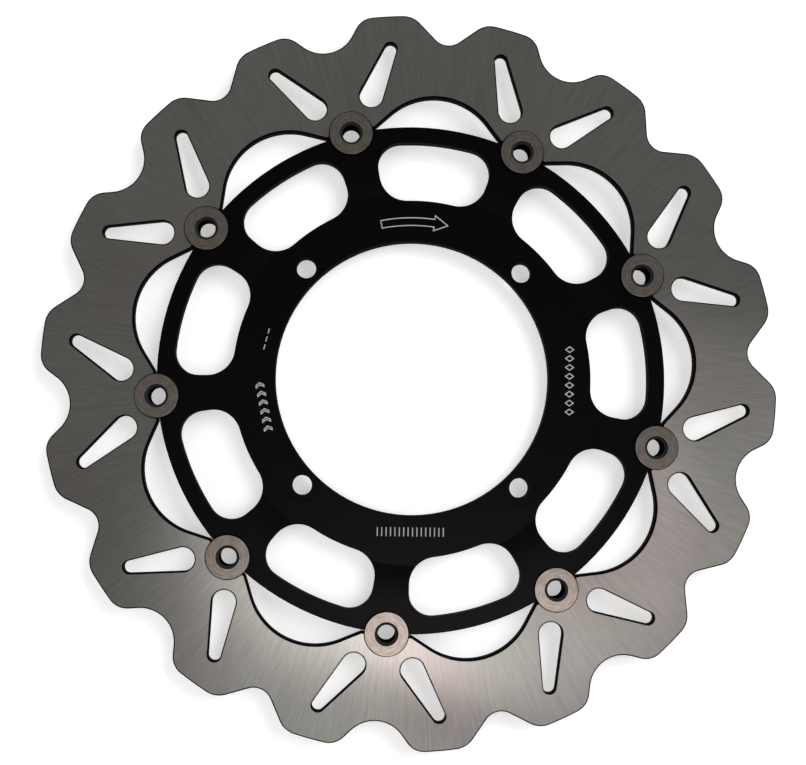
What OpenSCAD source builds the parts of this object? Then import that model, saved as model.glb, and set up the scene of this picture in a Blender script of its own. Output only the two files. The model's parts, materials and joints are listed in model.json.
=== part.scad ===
// Two-piece floating brake disc with a wavy rim.
// A thin steel friction ring hangs on an aluminium carrier by hollow bobbins that sit in
// half-moon notches, and a wave washer, a flat washer and a circlip close each bobbin behind.
// The disc lies flat: +Z runs along the wheel axle towards the outboard face, and the origin
// is the centre of the bore on the carrier's mounting face. Lengths are in millimetres.

/* [Friction ring] */
// Outer diameter over the wave crests
ring_d = 320; // [318:1:326]
// Thickness of the friction ring
ring_t = 4.5; // [4:0.1:5]
// Depth of the narrow wave valleys, above each bobbin
narrow_valley_depth = 12.5; // [11:0.5:13]
// Depth of the wide wave valleys, halfway between two bobbins
wide_valley_depth = 12.2; // [11:0.1:12.8]
// Distance from the disc's centre to the top of each inner scallop
scallop_top_r = 123.8; // [123:0.1:125]
// Radius of the round part of each inner scallop
scallop_r = 28.5; // [27:0.5:30]
// Radius of a slot's wide inner end
slot_inner_end_r = 5.1; // [4:0.1:5.5]
// Radius of a slot's narrow outer end
slot_outer_end_r = 2.65; // [2:0.05:3]

/* [Carrier] */
// Diameter of the bore that fits over the wheel hub's spigot
bore_d = 119; // [112:1:120]
// Thickness of the bolted annulus
annulus_t = 5; // [4.5:0.1:5.5]
// Outer radius of the bolted annulus, where the ramp up to the rim begins
annulus_r = 81; // [80:0.5:82]
// How far the rim stands forward of the mounting face
rim_offset = 1.5; // [1.2:0.1:2]
// Outer diameter of the carrier
carrier_d = 220.4; // [218:0.1:221]
// Inner and outer radius of the windows
window_inner_r = 77.9; // [76:0.1:79]
window_outer_r = 103.1; // [102:0.1:103.5]
// Angle that the sides of a window span
window_angle = 30.3; // [29:0.1:31]
// Radius of a window's corners, on the hub side and on the rim side
window_inner_corner_r = 12; // [9:0.5:12]
window_outer_corner_r = 10; // [8:0.5:10]

/* [Mounting bolts] */
// Number of bolt holes
bolt_count = 4; // [4:1:4]
// Diameter of the bolt circle
bolt_pcd = 133; // [132:0.5:135]
// Diameter of a bolt hole, clearance for M8
bolt_hole_d = 8.5; // [8.4:0.1:9]
// Diameter and depth of the spot face round each bolt hole
spot_face_d = 14.4; // [13:0.2:15]
spot_face_depth = 0.3; // [0.2:0.05:0.5]

/* [Bobbins] */
// Diameter of the circle that the bobbins stand on
bobbin_circle_d = 220.8; // [220.6:0.1:221]
// Diameter and thickness of a bobbin's flange
flange_d = 19.5; // [18.5:0.1:20]
flange_t = 1; // [0.8:0.1:1.2]
// Diameter of a bobbin's barrel
barrel_d = 14; // [13:0.1:14.4]
// Diameter of the hole through a bobbin
bobbin_bore_d = 7.6; // [7:0.1:9]
// Radial clearance of the barrel in its notches
notch_gap = 0.08; // [0.05:0.01:0.1]
// Height of a fitted wave washer, and its strip thickness
wave_washer_h = 1; // [0.9:0.05:1.1]
wave_washer_t = 0.3; // [0.2:0.05:0.4]
// Thickness of a flat washer
flat_washer_t = 1; // [0.4:0.1:1.2]
// Thickness of a circlip, and how far the bobbin stands out behind it
circlip_t = 1.2; // [0.8:0.1:1.5]
bobbin_tail = 2; // [0.5:0.1:2.5]

/* [Hidden] */

$fn = 96;
// clear distance between faces that rest on each other
touch_gap = 0.02;
// how far a cutter runs past the face it cuts
past = 1;

// straight pieces that stand for each kind of arc
valley_steps = 8;
crest_steps = 6;
scallop_steps = 32;
slot_inner_end_steps = 20;
slot_outer_end_steps = 14;
window_corner_steps = 12;
window_edge_steps = 10;
ramp_steps = 6;
wave_steps = 48;

// the bobbins divide the disc in equal sectors, and the first one faces a bolt hole
bobbin_count = 9;
sector = 360 / bobbin_count;
first_bobbin_angle = 225;
first_bolt_angle = 45;
bobbin_circle_r = bobbin_circle_d / 2;

// heights along the axle
rim_back = rim_offset;
rim_front = rim_back + ring_t;
flange_under = rim_front + touch_gap;
flange_top = flange_under + flange_t;
wave_top = rim_back - touch_gap;
wave_bottom = rim_back - wave_washer_h;
washer_top = wave_bottom - touch_gap;
washer_bottom = washer_top - flat_washer_t;
clip_top = washer_bottom - touch_gap;
clip_bottom = clip_top - circlip_t;
bobbin_bottom = clip_bottom - bobbin_tail;

// radii of the small hardware
barrel_r = barrel_d / 2;
notch_r = barrel_r + notch_gap;
groove_depth = 0.6;
groove_r = barrel_r - groove_depth;
washer_inner_r = barrel_r + 0.1;
washer_outer_r = flange_d / 2 - 0.15;
wave_inner_r = barrel_r + 0.25;
wave_outer_r = flange_d / 2 - 0.35;
wave_count = 3;

// ---- outlines ----

// a point at a distance from the centre and an angle from the +Y axis, clockwise
function polar(r, a) = [r * sin(a), r * cos(a)];
// steps + 1 points on an arc from angle a0 to a1, measured from the +Y axis, clockwise
function arc(c, r, a0, a1, steps) = [for (i = [0:steps]) c + polar(r, a0 + (a1 - a0) * i / steps)];
function mirrored(points) = [for (i = [len(points) - 1:-1:0]) [-points[i][0], points[i][1]]];
function turned(points, a) =
    [for (p = points) [p[0] * cos(a) + p[1] * sin(a), p[1] * cos(a) - p[0] * sin(a)]];

crest_r = ring_d / 2;
narrow_bottom_r = 14.5;
narrow_slope = 49;
narrow_shoulder_r = 9;
wide_bottom_r = 8;
wide_slope = 41;
wide_shoulder_r = 10;

// centre of the shoulder arc that joins a valley's straight flank to the crest arc, for a
// valley at the +Y axis: bottom radius vr, flank slope s, shoulder radius sr
function flank_start(depth, vr, s) = [vr * sin(s), crest_r - depth + vr - vr * cos(s)];
function shoulder_base(depth, vr, s, sr) = flank_start(depth, vr, s) + sr * [sin(s), -cos(s)];
function shoulder_run(b, s, sr) =
    let (along = b[0] * cos(s) + b[1] * sin(s), reach = crest_r - sr)
    sqrt(along * along - (b * b - reach * reach)) - along;
function shoulder_centre(depth, vr, s, sr) =
    let (b = shoulder_base(depth, vr, s, sr)) b + shoulder_run(b, s, sr) * [cos(s), sin(s)];
function angle_of(p) = atan2(p[0], p[1]);

// half a valley: from its bottom on the +Y axis out to the start of the crest arc
function half_valley(depth, vr, s, sr) =
    let (c = shoulder_centre(depth, vr, s, sr))
    concat(arc([0, crest_r - depth + vr], vr, 180, 180 - s, valley_steps),
           arc(c, sr, -s, angle_of(c), valley_steps));

narrow_half = half_valley(narrow_valley_depth, narrow_bottom_r, narrow_slope, narrow_shoulder_r);
wide_half = half_valley(wide_valley_depth, wide_bottom_r, wide_slope, wide_shoulder_r);
crest_from = angle_of(narrow_half[len(narrow_half) - 1]);
crest_to = sector / 2 - angle_of(wide_half[len(wide_half) - 1]);
half_wave = concat(narrow_half,
                   [for (i = [1:crest_steps - 1])
                       polar(crest_r, crest_from + (crest_to - crest_from) * i / crest_steps)],
                   turned(mirrored(wide_half), sector / 2));

// one sector of the outer edge, centred on a bobbin, with its first point left to the last sector
wave_mirror = mirrored(half_wave);
one_wave = concat([for (i = [1:len(wave_mirror) - 2]) wave_mirror[i]], half_wave);

module wave_outline() {
    polygon([for (k = [0:bobbin_count - 1]) for (p = turned(one_wave, k * sector)) p]);
}

// the scallop between two ears: a round top, then straight sides that run down to the ears' tips
ring_inner_r = bobbin_circle_r + 0.5;
ear_half_angle = 5.6;
scallop_overlap = 12;
scallop_centre = [0, scallop_top_r - scallop_r];
ear_tip = polar(ring_inner_r, sector / 2 - ear_half_angle);
tip_from_centre = ear_tip - scallop_centre;
scallop_turn = angle_of(tip_from_centre) - acos(scallop_r / norm(tip_from_centre));

module scallop() {
    inside = ear_tip - [0, scallop_overlap];
    polygon(concat([[-inside[0], inside[1]], [-ear_tip[0], ear_tip[1]]],
                   arc(scallop_centre, scallop_r, -scallop_turn, scallop_turn, scallop_steps),
                   [ear_tip, inside]));
}

// a tapered slot that leans away from the bobbin below it
slot_inner_at_r = 125.4;
slot_inner_angle = 5.8;
slot_outer_at_r = 145.4;
slot_outer_angle = 10.3;
slot_inner = polar(slot_inner_at_r, slot_inner_angle);
slot_outer = polar(slot_outer_at_r, slot_outer_angle);
slot_axis = slot_outer - slot_inner;
slot_lean = angle_of(slot_axis);
slot_taper = asin((slot_inner_end_r - slot_outer_end_r) / norm(slot_axis));

module slot() {
    polygon(concat(arc(slot_outer, slot_outer_end_r, slot_lean - 90 + slot_taper,
                       slot_lean + 90 - slot_taper, slot_outer_end_steps),
                   arc(slot_inner, slot_inner_end_r, slot_lean + 90 - slot_taper,
                       slot_lean + 270 + slot_taper, slot_inner_end_steps)));
}

// a carrier window: two arcs about the disc's centre, joined by round corners and short sides
half_window = window_angle / 2;
inner_corner_at = window_inner_r + window_inner_corner_r;
outer_corner_at = window_outer_r - window_outer_corner_r;
inner_corner_angle = half_window - asin(window_inner_corner_r / inner_corner_at);
outer_corner_angle = half_window - asin(window_outer_corner_r / outer_corner_at);
window_side = concat(
    arc(polar(outer_corner_at, outer_corner_angle), window_outer_corner_r,
        outer_corner_angle, half_window + 90, window_corner_steps),
    arc(polar(inner_corner_at, inner_corner_angle), window_inner_corner_r,
        half_window + 90, inner_corner_angle + 180, window_corner_steps));

module window() {
    outer_edge = [for (i = [1:window_edge_steps - 1])
        polar(window_outer_r, outer_corner_angle * (2 * i / window_edge_steps - 1))];
    inner_edge = [for (i = [1:window_edge_steps - 1])
        polar(window_inner_r, inner_corner_angle * (1 - 2 * i / window_edge_steps))];
    polygon(concat(outer_edge, window_side, inner_edge, mirrored(window_side)));
}

// the carrier's section: bolted annulus, a ramp that eases into the rim, and the rim
ramp_ease_r = 97;
ramp_slope_end_r = 89;
bore_chamfer = 0.5;
ramp_rise = rim_front - annulus_t;
function eased(t) = 1 - pow(1 - t, 2);
ramp_points = [for (i = [0:ramp_steps])
    let (t = i / ramp_steps) [annulus_r + (ramp_ease_r - annulus_r) * t, annulus_t + ramp_rise * eased(t)]];
carrier_section = concat(
    [[bore_d / 2 + bore_chamfer, 0], [bore_d / 2, bore_chamfer],
     [bore_d / 2, annulus_t - bore_chamfer], [bore_d / 2 + bore_chamfer, annulus_t]],
    ramp_points,
    [[carrier_d / 2, rim_front], [carrier_d / 2, rim_back],
     [ramp_slope_end_r, rim_back], [annulus_r + 1, 0]]);

// ---- placing ----

// the model's angles run anticlockwise from +X, and the outlines' from +Y
module at_sector(k) { rotate(first_bobbin_angle - 90 + k * sector) children(); }
module at_bobbin(k) { at_sector(k) translate([0, bobbin_circle_r, 0]) children(); }

module all_notches(h_from, h_to) {
    for (k = [0:bobbin_count - 1])
        at_bobbin(k) translate([0, 0, h_from - past])
            cylinder(r = notch_r, h = h_to - h_from + 2 * past);
}

// ---- parts ----

module carrier() {
    color([0.07, 0.07, 0.075]) difference() {
        rotate_extrude() polygon(carrier_section);
        for (k = [0:bobbin_count - 1])
            at_sector(k + 0.5) translate([0, 0, -past])
                linear_extrude(rim_front + 2 * past) window();
        for (k = [0:bolt_count - 1])
            rotate(first_bolt_angle + k * 360 / bolt_count) translate([bolt_pcd / 2, 0, 0]) {
                translate([0, 0, -past]) cylinder(d = bolt_hole_d, h = annulus_t + 2 * past);
                translate([0, 0, annulus_t - spot_face_depth]) cylinder(d = spot_face_d, h = past);
            }
        all_notches(rim_back, rim_front);
    }
}

module friction_ring() {
    color([0.55, 0.54, 0.52]) difference() {
        translate([0, 0, rim_back]) linear_extrude(ring_t) difference() {
            rotate(first_bobbin_angle - 90) wave_outline();
            circle(r = ring_inner_r);
            for (k = [0:bobbin_count - 1]) {
                at_sector(k + 0.5) scallop();
                at_sector(k) slot();
                at_sector(k) mirror([1, 0]) slot();
            }
        }
        all_notches(rim_back, rim_front);
    }
}

// a hollow flanged bobbin, with a groove for its circlip
module bobbin(k) {
    rim_break = 0.3;
    back_mouth = 0.45;
    front_mouth = 1.3;
    color([0.6, 0.57, 0.53]) at_bobbin(k) rotate_extrude() polygon([
        [bobbin_bore_d / 2, bobbin_bottom + back_mouth],
        [bobbin_bore_d / 2 + back_mouth, bobbin_bottom],
        [barrel_r - rim_break, bobbin_bottom],
        [barrel_r, bobbin_bottom + rim_break],
        [barrel_r, clip_bottom - touch_gap],
        [groove_r, clip_bottom - touch_gap],
        [groove_r, clip_top + touch_gap],
        [barrel_r, clip_top + touch_gap],
        [barrel_r, flange_under],
        [flange_d / 2, flange_under],
        [flange_d / 2, flange_top - rim_break],
        [flange_d / 2 - rim_break, flange_top],
        [bobbin_bore_d / 2 + front_mouth, flange_top],
        [bobbin_bore_d / 2, flange_top - front_mouth]]);
}

// a springy ring whose strip rises and falls three times on its way round
module wave_washer(k) {
    lift = (wave_top - wave_bottom - wave_washer_t) / 2;
    function strip_z(i) = wave_bottom + lift * (1 + cos(360 * wave_count * i / wave_steps));
    points = [for (i = [0:wave_steps - 1])
        let (a = 360 * i / wave_steps, z = strip_z(i))
        for (corner = [[wave_inner_r, 0], [wave_outer_r, 0],
                       [wave_outer_r, wave_washer_t], [wave_inner_r, wave_washer_t]])
            [corner[0] * cos(a), corner[0] * sin(a), z + corner[1]]];
    faces = [for (i = [0:wave_steps - 1]) for (j = [0:3])
        let (here = 4 * i, next = 4 * ((i + 1) % wave_steps), up = (j + 1) % 4)
        for (f = [[here + j, next + up, next + j], [here + j, here + up, next + up]]) f];
    color([0.5, 0.5, 0.5]) at_bobbin(k) polyhedron(points, faces);
}

module flat_washer(k) {
    color([0.62, 0.62, 0.62]) at_bobbin(k) translate([0, 0, washer_bottom]) difference() {
        cylinder(r = washer_outer_r, h = flat_washer_t);
        translate([0, 0, -past]) cylinder(r = washer_inner_r, h = flat_washer_t + 2 * past);
    }
}

// an external circlip: an open ring with two eyes for the pliers, its gap facing outwards
module circlip(k) {
    clip_outer_r = barrel_r + 0.9;
    gap_half_angle = 17;
    gap_reach = 12;
    eye_at = barrel_r + 1.1;
    eye_angle = 24;
    eye_r = 1.6;
    eye_hole_r = 0.7;
    eye_hole_at = eye_at + 0.15;
    color([0.25, 0.24, 0.23]) at_bobbin(k) translate([0, 0, clip_bottom]) linear_extrude(circlip_t)
        difference() {
            union() {
                circle(r = clip_outer_r);
                for (side = [-1, 1]) translate(polar(eye_at, side * eye_angle)) circle(r = eye_r);
            }
            circle(r = groove_r + touch_gap);
            for (side = [-1, 1]) translate(polar(eye_hole_at, side * eye_angle)) circle(r = eye_hole_r);
            polygon([[0, 0], polar(gap_reach, -gap_half_angle), polar(gap_reach, gap_half_angle)]);
        }
}

carrier();
friction_ring();
bobbin(0);  // bobbin_1
bobbin(1);  // bobbin_2
bobbin(2);  // bobbin_3
bobbin(3);  // bobbin_4
bobbin(4);  // bobbin_5
bobbin(5);  // bobbin_6
bobbin(6);  // bobbin_7
bobbin(7);  // bobbin_8
bobbin(8);  // bobbin_9
wave_washer(0);  // wave_washer_1
wave_washer(1);  // wave_washer_2
wave_washer(2);  // wave_washer_3
wave_washer(3);  // wave_washer_4
wave_washer(4);  // wave_washer_5
wave_washer(5);  // wave_washer_6
wave_washer(6);  // wave_washer_7
wave_washer(7);  // wave_washer_8
wave_washer(8);  // wave_washer_9
flat_washer(0);  // flat_washer_1
flat_washer(1);  // flat_washer_2
flat_washer(2);  // flat_washer_3
flat_washer(3);  // flat_washer_4
flat_washer(4);  // flat_washer_5
flat_washer(5);  // flat_washer_6
flat_washer(6);  // flat_washer_7
flat_washer(7);  // flat_washer_8
flat_washer(8);  // flat_washer_9
circlip(0);  // circlip_1
circlip(1);  // circlip_2
circlip(2);  // circlip_3
circlip(3);  // circlip_4
circlip(4);  // circlip_5
circlip(5);  // circlip_6
circlip(6);  // circlip_7
circlip(7);  // circlip_8
circlip(8);  // circlip_9
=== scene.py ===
"""Looks of a two-piece floating brake disc: ground steel ring, black carrier, turned bobbins."""
import json
import math

import bmesh
import bpy
from mathutils import Matrix, Vector


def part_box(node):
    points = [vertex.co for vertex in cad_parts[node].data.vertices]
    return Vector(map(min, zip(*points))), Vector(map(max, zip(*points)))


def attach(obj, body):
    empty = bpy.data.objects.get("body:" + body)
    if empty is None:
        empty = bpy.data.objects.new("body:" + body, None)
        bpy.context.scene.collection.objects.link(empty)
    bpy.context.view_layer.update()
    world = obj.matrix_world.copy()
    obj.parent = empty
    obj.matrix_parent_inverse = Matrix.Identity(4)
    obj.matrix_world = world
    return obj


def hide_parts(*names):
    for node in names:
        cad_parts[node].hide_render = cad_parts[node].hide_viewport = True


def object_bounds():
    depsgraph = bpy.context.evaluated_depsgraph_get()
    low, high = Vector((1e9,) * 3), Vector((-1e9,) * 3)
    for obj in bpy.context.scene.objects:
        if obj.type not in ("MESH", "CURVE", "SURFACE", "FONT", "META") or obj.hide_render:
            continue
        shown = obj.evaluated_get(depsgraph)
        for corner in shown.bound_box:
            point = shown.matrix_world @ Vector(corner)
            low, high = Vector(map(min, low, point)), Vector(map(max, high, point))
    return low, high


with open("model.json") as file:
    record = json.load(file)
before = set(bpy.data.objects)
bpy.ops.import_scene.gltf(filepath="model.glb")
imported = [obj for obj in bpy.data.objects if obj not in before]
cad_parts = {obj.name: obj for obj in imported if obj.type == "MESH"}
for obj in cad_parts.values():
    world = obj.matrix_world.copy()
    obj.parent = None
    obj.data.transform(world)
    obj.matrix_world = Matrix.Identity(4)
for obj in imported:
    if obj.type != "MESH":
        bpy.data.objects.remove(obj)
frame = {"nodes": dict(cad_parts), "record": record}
cad_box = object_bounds()

MM = 0.001

# Camera: it stands nearly over the disc and leans a little towards the lower left.
CAMERA_TILT = 3.8
CAMERA_TOWARDS = 234
CAMERA_DISTANCE = 0.5
CAMERA_ROLL = 0.88
CAMERA_AIM = (-4.19 * MM, -2.06 * MM, 6 * MM)
CAMERA_LENS = 51.53
CAMERA_SENSOR = 36

# Friction ring: (width on the face, height on the wall) of its rounded edges. They take the black wall
# colour: partly the black coat, partly painted shade where the ground edges look dark.
RIM_BREAK = (0.6 * MM, 0.4 * MM)
SCALLOP_BREAK = (0.9 * MM, 0.4 * MM)
SLOT_BREAK = (0.55 * MM, 0.4 * MM)

# Carrier
CARRIER_BREAK = 0.3 * MM

# Bobbins and what sits on each of them
BOBBINS = 9
FIRST_BOBBIN_ANGLE = 225
SECTOR = 360 / BOBBINS
BARREL_R = 7 * MM
GROOVE_R = 6.4 * MM
BOBBIN_BORE_R = 3.8 * MM
FRONT_MOUTH = 1.3 * MM
BACK_MOUTH = 0.45 * MM
BARREL_BREAK = 0.3 * MM
FLANGE_GAP = 0.02 * MM
FLANGE_BREAK_WIDE = 0.42 * MM
FLANGE_BREAK_DEEP = 0.65 * MM
FLAT_WASHER_BORE_R = 7.1 * MM
WAVE_WASHER_INNER_R = 7.25 * MM
WAVE_WASHER_OUTER_R = 9.4 * MM
WAVE_STRIP = 0.3 * MM
WAVES = 3
CIRCLIP_BREAK = (0.1 * MM, 0.1 * MM)

# Etched marks: how far they stand proud and reach down, and where each group lies
ETCH_RISE = 0.012 * MM
ETCH_SINK = 0.03 * MM
WIDE_STROKE = 0.42 * MM
THIN_STROKE = 0.2 * MM
MARKS_R = 68.6 * MM
LEFT_MARKS_R = 65.5 * MM
TICKS_R = 66.5 * MM


# ---------------------------------------------------------------- camera, light and floor

def look(obj, target, roll=0.0):
    """Turns obj to look at target with +Y up, then leans its top to the left by roll degrees."""
    back = (obj.location - Vector(target)).normalized()
    lean = math.radians(roll)
    up = Vector((-math.sin(lean), math.cos(lean), 0))
    right = up.cross(back).normalized()
    up = back.cross(right)
    obj.rotation_mode = "QUATERNION"
    obj.rotation_quaternion = Matrix((right, up, back)).transposed().to_quaternion()


def make_camera():
    """The camera at the photograph's viewing angle."""
    tilt, towards = math.radians(CAMERA_TILT), math.radians(CAMERA_TOWARDS)
    data = bpy.data.cameras.new("camera")
    camera = bpy.data.objects.new("camera", data)
    bpy.context.scene.collection.objects.link(camera)
    target = Vector(CAMERA_AIM)
    lean = math.sin(tilt)
    direction = Vector((lean * math.cos(towards), lean * math.sin(towards), math.cos(tilt)))
    camera.location = target + direction * CAMERA_DISTANCE
    look(camera, target, CAMERA_ROLL)
    data.sensor_width = CAMERA_SENSOR
    data.lens = CAMERA_LENS
    data.clip_start = 0.05
    data.clip_end = 50
    bpy.context.scene.camera = camera


def area_light(name, place, target, size, power, tint=(1, 1, 1), mirrored=True, turn=0.0):
    """A rectangular light. One that isn't mirrored lights the scene but leaves no reflection."""
    data = bpy.data.lights.new(name, "AREA")
    data.shape = "RECTANGLE"
    data.size, data.size_y = size
    data.energy = power
    data.color = tint
    light = bpy.data.objects.new(name, data)
    bpy.context.scene.collection.objects.link(light)
    light.location = place
    look(light, target, turn)
    light.visible_camera = False
    light.visible_glossy = mirrored


def make_lights():
    """Two broad lights for the coats and the floor, and two small ones that the bright metal mirrors."""
    broad = (2.2, 2.2)
    area_light("key_right", (1.6, 1.2, 1.8), (0, 0, 0), broad, 57, mirrored=False)
    area_light("fill_left", (-1.8, -0.6, 1.8), (0, 0, 0), broad, 20, mirrored=False)
    area_light("strip", (0.13, -0.39, 1.6), (0.13, -0.39, 0), (0.66, 0.09), 1.45, (1, 0.91, 0.91), turn=-6.7)
    area_light("glow", (0.54, -0.92, 1.6), (0.54, -0.92, 0), (0.78, 0.77), 2.9, (1, 0.96, 0.95))


def make_world():
    """A dim ceiling over a pale horizon."""
    world = bpy.data.worlds.new("studio")
    bpy.context.scene.world = world
    world.use_nodes = True
    tree = world.node_tree
    background = tree.nodes["Background"]
    coords = tree.nodes.new("ShaderNodeTexCoord")
    split = tree.nodes.new("ShaderNodeSeparateXYZ")
    ramp = tree.nodes.new("ShaderNodeValToRGB")
    tree.links.new(coords.outputs["Generated"], split.inputs[0])
    tree.links.new(split.outputs["Z"], ramp.inputs[0])
    tree.links.new(ramp.outputs[0], background.inputs["Color"])
    ramp.color_ramp.elements[0].position = 0.1
    ramp.color_ramp.elements[0].color = (0.5, 0.5, 0.5, 1)
    ramp.color_ramp.elements[1].position = 0.7
    ramp.color_ramp.elements[1].color = (0.162, 0.162, 0.162, 1)


def make_floor():
    """A square of table just under the lowest point of the disc."""
    size = 6.0
    top = cad_box[0].z - 0.02 * MM
    corners = [(-size, -size, top), (size, -size, top), (size, size, top), (-size, size, top)]
    mesh = bpy.data.meshes.new("floor")
    mesh.from_pydata(corners, [], [(0, 1, 2, 3)])
    floor = bpy.data.objects.new("floor", mesh)
    bpy.context.scene.collection.objects.link(floor)
    light_table()
    mesh.materials.append(bpy.data.materials["light_table"])


# ---------------------------------------------------------------- materials

def new_material(name):
    """(node tree, Principled shader) of a new material."""
    made = bpy.data.materials.new(name)
    made.use_nodes = True
    return made.node_tree, made.node_tree.nodes["Principled BSDF"]


def node(tree, kind, values=(), **settings):
    """A node of that kind. values are (input, value or socket) pairs."""
    made = tree.nodes.new("ShaderNode" + kind)
    for key, value in settings.items():
        setattr(made, key, value)
    for key, value in values:
        if isinstance(value, bpy.types.NodeSocket):
            tree.links.new(value, made.inputs[key])
        else:
            made.inputs[key].default_value = value
    return made


def maths(tree, operation, a, b):
    return node(tree, "Math", [(0, a), (1, b)], operation=operation).outputs[0]


def blend(tree, a, share, b):
    """share of a and the rest of b."""
    return maths(tree, "ADD", maths(tree, "MULTIPLY", a, share), maths(tree, "MULTIPLY", b, 1 - share))


def scaled_to(tree, value, low, high):
    """value from 0..1 to low..high."""
    return node(tree, "MapRange", [("Value", value), ("To Min", low), ("To Max", high)]).outputs[0]


def stretched(tree, value, low, high):
    """value from low..high to 0..1, cut off at both ends."""
    return node(tree, "MapRange", [("Value", value), ("From Min", low), ("From Max", high)]).outputs[0]


def noise(tree, place, scale, detail):
    values = [("Vector", place), ("Scale", scale), ("Detail", detail)]
    return node(tree, "TexNoise", values).outputs["Fac"]


def polar(tree):
    """(unit direction from the object's own Z axis, distance from it) as sockets."""
    place = node(tree, "TexCoord").outputs["Object"]
    flat = node(tree, "VectorMath", [(0, place), (1, (1, 1, 0))], operation="MULTIPLY").outputs[0]
    unit = node(tree, "VectorMath", [(0, flat)], operation="NORMALIZE").outputs[0]
    away = node(tree, "VectorMath", [(0, flat)], operation="LENGTH").outputs["Value"]
    return unit, away


def polar_noise(tree, unit, away, around, outward):
    """Noise with around cells to the radian and outward cells to the metre of radius."""
    spread = node(tree, "VectorMath", [(0, unit), ("Scale", around)], operation="SCALE").outputs[0]
    depth = node(tree, "CombineXYZ", [("Z", maths(tree, "MULTIPLY", away, outward))]).outputs[0]
    place = node(tree, "VectorMath", [(0, spread), (1, depth)], operation="ADD").outputs[0]
    return noise(tree, place, 1.0, 2.0)


def clouds(tree, scale):
    return noise(tree, node(tree, "TexCoord").outputs["Object"], scale, 3.0)


def mixed(tree, share, a, b):
    """The colour a where share is 0, and b where it is 1."""
    return node(tree, "Mix", [("Factor", share), (6, a), (7, b)], data_type="RGBA").outputs[2]


def bumped(tree, surface, height, distance, strength=1.0):
    made = node(tree, "Bump", [("Height", height), ("Distance", distance), ("Strength", strength)])
    tree.links.new(made.outputs[0], surface.inputs["Normal"])


def light_table():
    """A white table lit from within. It lets the view through from below."""
    tree, surface = new_material("light_table")
    surface.inputs["Base Color"].default_value = (0.85, 0.85, 0.85, 1)
    surface.inputs["Roughness"].default_value = 0.9
    surface.inputs["Specular IOR Level"].default_value = 0.05
    surface.inputs["Emission Color"].default_value = (1, 1, 1, 1)
    surface.inputs["Emission Strength"].default_value = 0.45
    behind = node(tree, "NewGeometry").outputs["Backfacing"]
    clear = node(tree, "BsdfTransparent").outputs[0]
    both = node(tree, "MixShader", [(0, behind), (1, surface.outputs[0]), (2, clear)]).outputs[0]
    tree.links.new(both, tree.nodes["Material Output"].inputs["Surface"])


def warm_patches(tree):
    """Where the steel looks a little brown, 0 to 1."""
    return stretched(tree, clouds(tree, 14), 0.42, 0.62)


def ground_steel():
    """Faces of the friction ring: stainless steel ground in fine lines along the radius."""
    tree, surface = new_material("ground_steel")
    unit, away = polar(tree)
    fine = polar_noise(tree, unit, away, 260, 100)
    broad = polar_noise(tree, unit, away, 70, 30)
    patches = clouds(tree, 18)
    strong = stretched(tree, blend(tree, fine, 0.7, broad), 0.28, 0.72)
    shade = blend(tree, strong, 0.55, patches)
    cool = mixed(tree, shade, (0.34, 0.342, 0.314, 1), (0.60, 0.602, 0.56, 1))
    warm = mixed(tree, shade, (0.35, 0.322, 0.305, 1), (0.62, 0.58, 0.55, 1))
    colour = mixed(tree, warm_patches(tree), cool, warm)
    tree.links.new(colour, surface.inputs["Base Color"])
    tree.links.new(scaled_to(tree, strong, 0.275, 0.305), surface.inputs["Roughness"])
    surface.inputs["Metallic"].default_value = 1.0
    surface.inputs["Anisotropic"].default_value = 1.0
    around = node(tree, "Tangent", direction_type="RADIAL", axis="Z").outputs[0]
    tree.links.new(around, surface.inputs["Tangent"])


def black_coat_and_painted_shade(name, tone, rough, grain, gloss):
    """A thin black coat with a fine uneven grain. Also used as painted shade on the bobbins' walls, bores
    and bore mouths, and in part on the ring's rounded edges.
    """
    tree, surface = new_material(name)
    speckle = clouds(tree, grain)
    dark = (tone * 0.8, tone * 0.8, tone * 0.82, 1)
    light = (tone * 1.25, tone * 1.25, tone * 1.25, 1)
    tree.links.new(mixed(tree, speckle, dark, light), surface.inputs["Base Color"])
    tree.links.new(scaled_to(tree, speckle, rough - 0.06, rough + 0.06), surface.inputs["Roughness"])
    surface.inputs["Specular IOR Level"].default_value = gloss
    bumped(tree, surface, speckle, 0.01 * MM, 0.5)


def turned_metal(name, dark, light, low, high):
    """Metal turned on a lathe, with fine rings round its own axis."""
    tree, surface = new_material(name)
    unit, away = polar(tree)
    fine = polar_noise(tree, unit, away, 1.5, 5200)
    wide = polar_noise(tree, unit, away, 2.5, 1200)
    both = blend(tree, fine, 0.4, wide)
    tree.links.new(mixed(tree, scaled_to(tree, both, -0.5, 1.5), dark, light), surface.inputs["Base Color"])
    tree.links.new(scaled_to(tree, both, low, high), surface.inputs["Roughness"])
    surface.inputs["Metallic"].default_value = 1.0
    bumped(tree, surface, both, 0.01 * MM, 0.4)


def etched_grey():
    """Bare matt metal where the black coat is etched away."""
    tree, surface = new_material("etched_grey")
    colour = mixed(tree, clouds(tree, 900), (0.3, 0.3, 0.3, 1), (0.62, 0.62, 0.62, 1))
    tree.links.new(colour, surface.inputs["Base Color"])
    surface.inputs["Roughness"].default_value = 0.7


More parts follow.
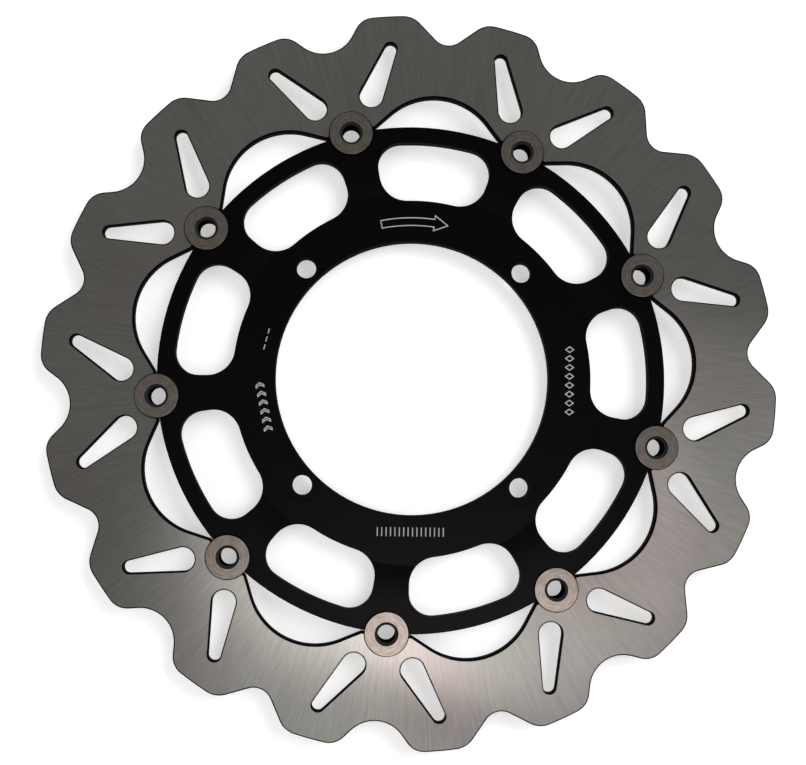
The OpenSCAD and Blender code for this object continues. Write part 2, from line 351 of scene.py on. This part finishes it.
def make_materials():
    ground_steel()
    # Black coat of the walls; on the ring's rounded edges it is in part painted shade.
    black_coat_and_painted_shade("wall_black_and_edge_shade", 0.002, 0.7, 500, 0.02)
    black_coat_and_painted_shade("anodised_black", 0.0008, 0.33, 260, 0.12)
    turned_metal("bobbin_turned", (0.25, 0.222, 0.195, 1), (0.57, 0.505, 0.44, 1), 0.277, 0.3)
    # Painted shade: near black without reflection on the bobbins' side walls and bores, and dark grey on
    # their bore mouths. This stands for the shade in the bores and on the flange edges.
    black_coat_and_painted_shade("bobbin_painted_shade", 0.002, 0.6, 700, 0.0)
    black_coat_and_painted_shade("bobbin_slope_painted_shade", 0.022, 0.5, 700, 0.05)
    turned_metal("washer_zinc", (0.38, 0.39, 0.4, 1), (0.62, 0.63, 0.64, 1), 0.25, 0.42)
    turned_metal("spring_steel", (0.2, 0.2, 0.21, 1), (0.36, 0.355, 0.35, 1), 0.25, 0.4)
    black_coat_and_painted_shade("circlip_dark", 0.03, 0.4, 700, 0.5)
    etched_grey()


# ---------------------------------------------------------------- mesh helpers

def give_materials(mesh, names):
    for name in names:
        mesh.materials.append(bpy.data.materials[name])


def add_object(name, mesh, body, materials, replaces=()):
    """A piece that rides on body and stands in for the CAD nodes in replaces."""
    give_materials(mesh, materials)
    made = bpy.data.objects.new(name, mesh)
    bpy.context.scene.collection.objects.link(made)
    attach(made, body)
    if replaces:
        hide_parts(*replaces)
    return made


def face_loops(name, height):
    """The closed outlines of a CAD node's flat face at that height, as lists of (x, y)."""
    bm = bmesh.new()
    bm.from_mesh(frame["nodes"][name].data)
    bmesh.ops.remove_doubles(bm, verts=bm.verts, dist=0.5e-6)
    flat = {f for f in bm.faces if all(abs(v.co.z - height) < 1e-6 for v in f.verts)}
    follow = {}
    for f in flat:
        for loop in f.loops:
            if sum(other in flat for other in loop.edge.link_faces) == 1:
                follow[loop.vert.index] = loop.link_loop_next.vert.index
    bm.verts.ensure_lookup_table()
    loops = []
    while follow:
        start, at = next(iter(follow.items()))
        del follow[start]
        points = [bm.verts[start].co.xy.copy()]
        while at != start:
            points.append(bm.verts[at].co.xy.copy())
            at = follow.pop(at)
        loops.append(points)
    bm.free()
    return loops


def inset(points, amount):
    """The outline moved into the metal by amount. Outlines run with the metal on their left."""
    count = len(points)
    moved = []
    for i, p in enumerate(points):
        before = (p - points[i - 1]).normalized()
        after = (points[(i + 1) % count] - p).normalized()
        normal = Vector((-before.y - after.y, before.x + after.x)).normalized()
        lean = max(0.5, normal.dot(Vector((-after.y, after.x))))
        moved.append(p + normal * amount / lean)
    return moved


def plate(name, loops, low, high, breaks):
    """A flat plate between two heights. Material 0 is its faces and 1 its walls.

    breaks holds each outline's rounded edge as (width on the face, height on the wall)."""
    bm = bmesh.new()
    part_way = 1 - math.sqrt(0.5)
    top_edges, bottom_edges = [], []
    for points, (wide, deep) in zip(loops, breaks):
        half = [(wide, 0), (wide * part_way, deep * part_way), (0, deep)]
        rows = [(x, high - z) for x, z in half] + [(x, low + z) for x, z in reversed(half)]
        ladder = [[bm.verts.new((*p, z)) for p in inset(points, x)] for x, z in rows]
        count = len(points)
        for upper, lower in zip(ladder, ladder[1:]):
            for i in range(count):
                j = (i + 1) % count
                f = bm.faces.new((upper[i], lower[i], lower[j], upper[j]))
                f.material_index = 1
        top_edges += [bm.edges.get((ladder[0][i], ladder[0][i - 1])) for i in range(count)]
        bottom_edges += [bm.edges.get((ladder[-1][i], ladder[-1][i - 1])) for i in range(count)]
    for edges in (top_edges, bottom_edges):
        made = bmesh.ops.triangle_fill(bm, edges=edges, use_beauty=True)
        for part in made["geom"]:
            if isinstance(part, bmesh.types.BMFace):
                part.material_index = 0
    return finished(bm, name)


def is_level(face):
    return abs(face.normal.z) > 0.9999


def finished(bm, name, crease=32):
    """The mesh, smooth except along creases, round level faces and where two materials meet."""
    bmesh.ops.recalc_face_normals(bm, faces=bm.faces)
    for f in bm.faces:
        f.smooth = True
    for e in bm.edges:
        a, b = e.link_faces
        alike = a.material_index == b.material_index and is_level(a) == is_level(b)
        e.smooth = alike and e.calc_face_angle() < math.radians(crease)
    mesh = bpy.data.meshes.new(name)
    bm.to_mesh(mesh)
    bm.free()
    return mesh


def lathe(name, profile, steps=96, painted_shade_walls=False):
    """A closed (radius, height) outline turned about Z. With painted shade walls, steep walls are material 1
    (near-black painted shade) and slopes are material 2 (dark grey painted shade).
    """
    bm = bmesh.new()
    count = len(profile)
    columns = []
    for s in range(steps):
        a = 2 * math.pi * s / steps
        columns.append([bm.verts.new((r * math.cos(a), r * math.sin(a), z)) for r, z in profile])
    for s in range(steps):
        here, there = columns[s], columns[(s + 1) % steps]
        for i in range(count):
            j = (i + 1) % count
            f = bm.faces.new((here[i], there[i], there[j], here[j]))
            rise = abs(profile[i][1] - profile[j][1])
            run = abs(profile[i][0] - profile[j][0])
            if painted_shade_walls and rise > run * 1.5:
                f.material_index = 1
            elif painted_shade_walls and rise > run * 0.7:
                f.material_index = 2
    return finished(bm, name)


def rounded(profile, radius):
    """The outline with each corner replaced by a short arc."""
    result = []
    count = len(profile)
    for i, corner in enumerate(profile):
        p = Vector(corner)
        a = Vector(profile[i - 1]) - p
        b = Vector(profile[(i + 1) % count]) - p
        cut = min(radius, a.length * 0.45, b.length * 0.45)
        a, b = a.normalized() * cut, b.normalized() * cut
        for t in (0, 0.25, 0.5, 0.75, 1):
            result.append(tuple(p + a * (1 - t) ** 2 + b * t ** 2))
    return result


# ---------------------------------------------------------------- pieces

def ring_break(points, ring_width):
    """The edge break of one outline of the ring: scalloped bore, waved rim or slot."""
    share = (max(p.x for p in points) - min(p.x for p in points)) / ring_width
    if share > 0.9:
        return RIM_BREAK
    if share > 0.5:
        return SCALLOP_BREAK
    return SLOT_BREAK


def make_ring():
    """The ring's plate, cut along the CAD outlines."""
    low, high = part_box("friction_ring")
    loops = face_loops("friction_ring", high.z)
    breaks = [ring_break(points, high.x - low.x) for points in loops]
    mesh = plate("ring_plate", loops, low.z, high.z, breaks)
    # Walls and rounded edges are black: the black coat, and on the rounded edges partly painted shade.
    materials = ("ground_steel", "wall_black_and_edge_shade")
    add_object("ring_plate", mesh, "ring", materials, ("friction_ring",))


def make_carrier():
    """The CAD carrier with its sharp edges rounded."""
    bm = bmesh.new()
    bm.from_mesh(frame["nodes"]["carrier"].data)
    bmesh.ops.remove_doubles(bm, verts=bm.verts, dist=0.5e-6)
    bmesh.ops.dissolve_limit(bm, angle_limit=math.radians(0.3), verts=bm.verts, edges=bm.edges)
    sharp = [e for e in bm.edges if e.is_manifold and e.calc_face_angle(0) > math.radians(40)]
    bmesh.ops.bevel(bm, geom=sharp, offset=CARRIER_BREAK, segments=2, profile=0.5, affect="EDGES",
                    clamp_overlap=True)
    for f in bm.faces:
        f.material_index = 1 if abs(f.normal.z) < 0.3 else 0
    mesh = finished(bm, "carrier_plate", 20)
    materials = ("anodised_black", "wall_black_and_edge_shade")
    add_object("carrier_plate", mesh, "carrier", materials, ("carrier",))


def spot(radius, angle):
    """The point at that radius and angle in degrees."""
    a = math.radians(angle)
    return Vector((radius * math.cos(a), radius * math.sin(a)))


def etch_outline(bm, points, top, stroke):
    """A thin ribbon just inside a closed outline that runs anticlockwise."""
    bottom = top - ETCH_SINK
    ladder = []
    for depth, z in ((0, top), (stroke, top), (stroke, bottom), (0, bottom)):
        ladder.append([bm.verts.new((*p, z)) for p in inset(points, depth)])
    for k in range(4):
        here, there = ladder[k], ladder[(k + 1) % 4]
        for i in range(len(points)):
            j = (i + 1) % len(points)
            bm.faces.new((here[i], here[j], there[j], there[i]))


def etch_row(bm, shape, count, pitch, radius, angle, top, stroke):
    """A straight row of one small shape. shape holds (along, outward) points in millimetres."""
    out = spot(1, angle)
    along = Vector((out.y, -out.x))
    for k in range(count):
        middle = out * radius + along * pitch * (k - (count - 1) / 2)
        points = [middle + (along * u + out * v) * MM for u, v in shape]
        etch_outline(bm, points, top, stroke)


def direction_arrow(bm, radius, top):
    """An arrow round the axle, with its head to the right, centred on +Y."""
    half, head, band, barb = 12.5, 5.5, 1.9 * MM, 3.7 * MM
    steps = 12
    tail, neck = 90 + half, 90 - half + head
    sweep = [tail + (neck - tail) * i / steps for i in range(steps + 1)]
    outer = [spot(radius + band, a) for a in sweep]
    inner = [spot(radius - band, a) for a in reversed(sweep)]
    point = [spot(radius + barb, neck), spot(radius, 90 - half), spot(radius - barb, neck)]
    etch_outline(bm, list(reversed(outer + point + inner)), top, WIDE_STROKE)


def make_marks():
    """Plain etched marks where the maker's lettering would be."""
    bore = next(m for m in frame["record"]["mounts"] if m["name"] == "hub_bore")
    top = 2 * bore["pos_m"][2] + ETCH_RISE
    diamond = [(0, -2.1), (1.5, 0), (0, 2.1), (-1.5, 0)]
    chevron = [(-1.2, -1.9), (0.2, -1.9), (1.4, 0), (0.2, 1.9), (-1.2, 1.9), (0, 0)]
    dash = [(-1.1, -0.24), (1.1, -0.24), (1.1, 0.24), (-1.1, 0.24)]
    tick = [(-0.22, -1.9), (0.22, -1.9), (0.22, 1.9), (-0.22, 1.9)]
    bm = bmesh.new()
    direction_arrow(bm, MARKS_R, top)
    etch_row(bm, diamond, 8, 3.9 * MM, MARKS_R, 0, top, WIDE_STROKE)
    etch_row(bm, chevron, 6, 3.8 * MM, LEFT_MARKS_R, 192, top, WIDE_STROKE)
    etch_row(bm, dash, 3, 3.6 * MM, LEFT_MARKS_R, 166, top, THIN_STROKE)
    etch_row(bm, tick, 16, 1.9 * MM, TICKS_R, 270, top, THIN_STROKE)
    mesh = finished(bm, "carrier_marks")
    add_object("carrier_marks", mesh, "carrier", ("etched_grey",))


def bobbin_profile():
    """A bobbin's half section, from the back mouth of its bore outwards and round to the front mouth."""
    low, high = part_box("bobbin_1")
    flange_r = (high.x - low.x) / 2
    flange_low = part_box("friction_ring")[1].z + FLANGE_GAP
    clip_low, clip_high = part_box("circlip_1")
    top, bottom = high.z, low.z
    return [
        (BOBBIN_BORE_R, bottom + BACK_MOUTH),
        (BOBBIN_BORE_R + BACK_MOUTH, bottom),
        (BARREL_R - BARREL_BREAK, bottom),
        (BARREL_R, bottom + BARREL_BREAK),
        (BARREL_R, clip_low.z),
        (GROOVE_R, clip_low.z),
        (GROOVE_R, clip_high.z),
        (BARREL_R, clip_high.z),
        (BARREL_R, flange_low),
        (flange_r, flange_low),
        (flange_r, top - FLANGE_BREAK_DEEP),
        (flange_r - FLANGE_BREAK_WIDE, top),
        (BOBBIN_BORE_R + FRONT_MOUTH, top),
        (BOBBIN_BORE_R, top - FRONT_MOUTH),
    ]


def washer_profile(node_name, inner):
    low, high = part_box(node_name)
    outer = (high.x - low.x) / 2
    return [(inner, low.z), (outer, low.z), (outer, high.z), (inner, high.z)]


def wave_washer(name):
    """A spring strip that rises and falls three times on its way round."""
    low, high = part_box("wave_washer_1")
    inner, outer = WAVE_WASHER_INNER_R, WAVE_WASHER_OUTER_R
    lift = (high.z - low.z - WAVE_STRIP) / 2
    steps = 144
    section = rounded([(inner, 0), (outer, 0), (outer, WAVE_STRIP), (inner, WAVE_STRIP)], 0.08 * MM)
    bm = bmesh.new()
    columns = []
    for s in range(steps):
        a = 2 * math.pi * s / steps
        base = low.z + lift * (1 + math.cos(WAVES * a))
        columns.append([bm.verts.new((r * math.cos(a), r * math.sin(a), base + z)) for r, z in section])
    for s in range(steps):
        here, there = columns[s], columns[(s + 1) % steps]
        for i in range(len(section)):
            j = (i + 1) % len(section)
            bm.faces.new((here[i], there[i], there[j], here[j]))
    return finished(bm, name)


def centred(loops, centre, turn):
    """Outlines moved so that centre is the origin, then turned by -turn degrees."""
    spin = Matrix.Rotation(math.radians(-turn), 2)
    return [[spin @ (p - centre) for p in points] for points in loops]


def turned_bobbin():
    # Bright turned faces; the walls, bore and bore mouths carry painted shade.
    mesh = lathe("bobbin", rounded(bobbin_profile(), 0.06 * MM), painted_shade_walls=True)
    give_materials(mesh, ("bobbin_turned", "bobbin_painted_shade", "bobbin_slope_painted_shade"))
    return mesh


def spring_washer():
    mesh = wave_washer("wave_washer")
    give_materials(mesh, ("spring_steel",))
    return mesh


def flat_washer():
    profile = washer_profile("flat_washer_1", FLAT_WASHER_BORE_R)
    mesh = lathe("flat_washer", rounded(profile, 0.1 * MM))
    give_materials(mesh, ("washer_zinc",))
    return mesh


def circlip(centre):
    """The first bobbin's circlip, moved from that bobbin's centre to the origin."""
    low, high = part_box("circlip_1")
    loops = centred(face_loops("circlip_1", high.z), centre, FIRST_BOBBIN_ANGLE)
    mesh = plate("circlip", loops, low.z, high.z, [CIRCLIP_BREAK] * len(loops))
    give_materials(mesh, ("circlip_dark", "circlip_dark"))
    return mesh


def make_bobbins():
    """Nine bobbins, each with its wave washer, flat washer and circlip, from four shared meshes."""
    low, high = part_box("bobbin_1")
    first = ((low + high) / 2).xy
    circle_r = first.length
    kinds = (
        ("bobbin", turned_bobbin(), "bobbin_metal"),
        ("wave_washer", spring_washer(), "spring_steel"),
        ("flat_washer", flat_washer(), "washer_steel"),
        ("circlip", circlip(first), "circlip_steel"),
    )
    for k in range(BOBBINS):
        angle = math.radians(FIRST_BOBBIN_ANGLE + SECTOR * k)
        for kind, mesh, slot in kinds:
            made = bpy.data.objects.new(f"{kind}_piece_{k + 1}", mesh)
            bpy.context.scene.collection.objects.link(made)
            made.location = (circle_r * math.cos(angle), circle_r * math.sin(angle), 0)
            made.rotation_euler = (0, 0, angle)
            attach(made, f"bobbin_{k + 1}")
            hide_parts(f"{kind}_{k + 1}")


bpy.context.scene.view_settings.view_transform = "Standard"
make_materials()
make_camera()
make_world()
make_lights()
make_floor()
make_ring()
make_carrier()
make_marks()
make_bobbins()
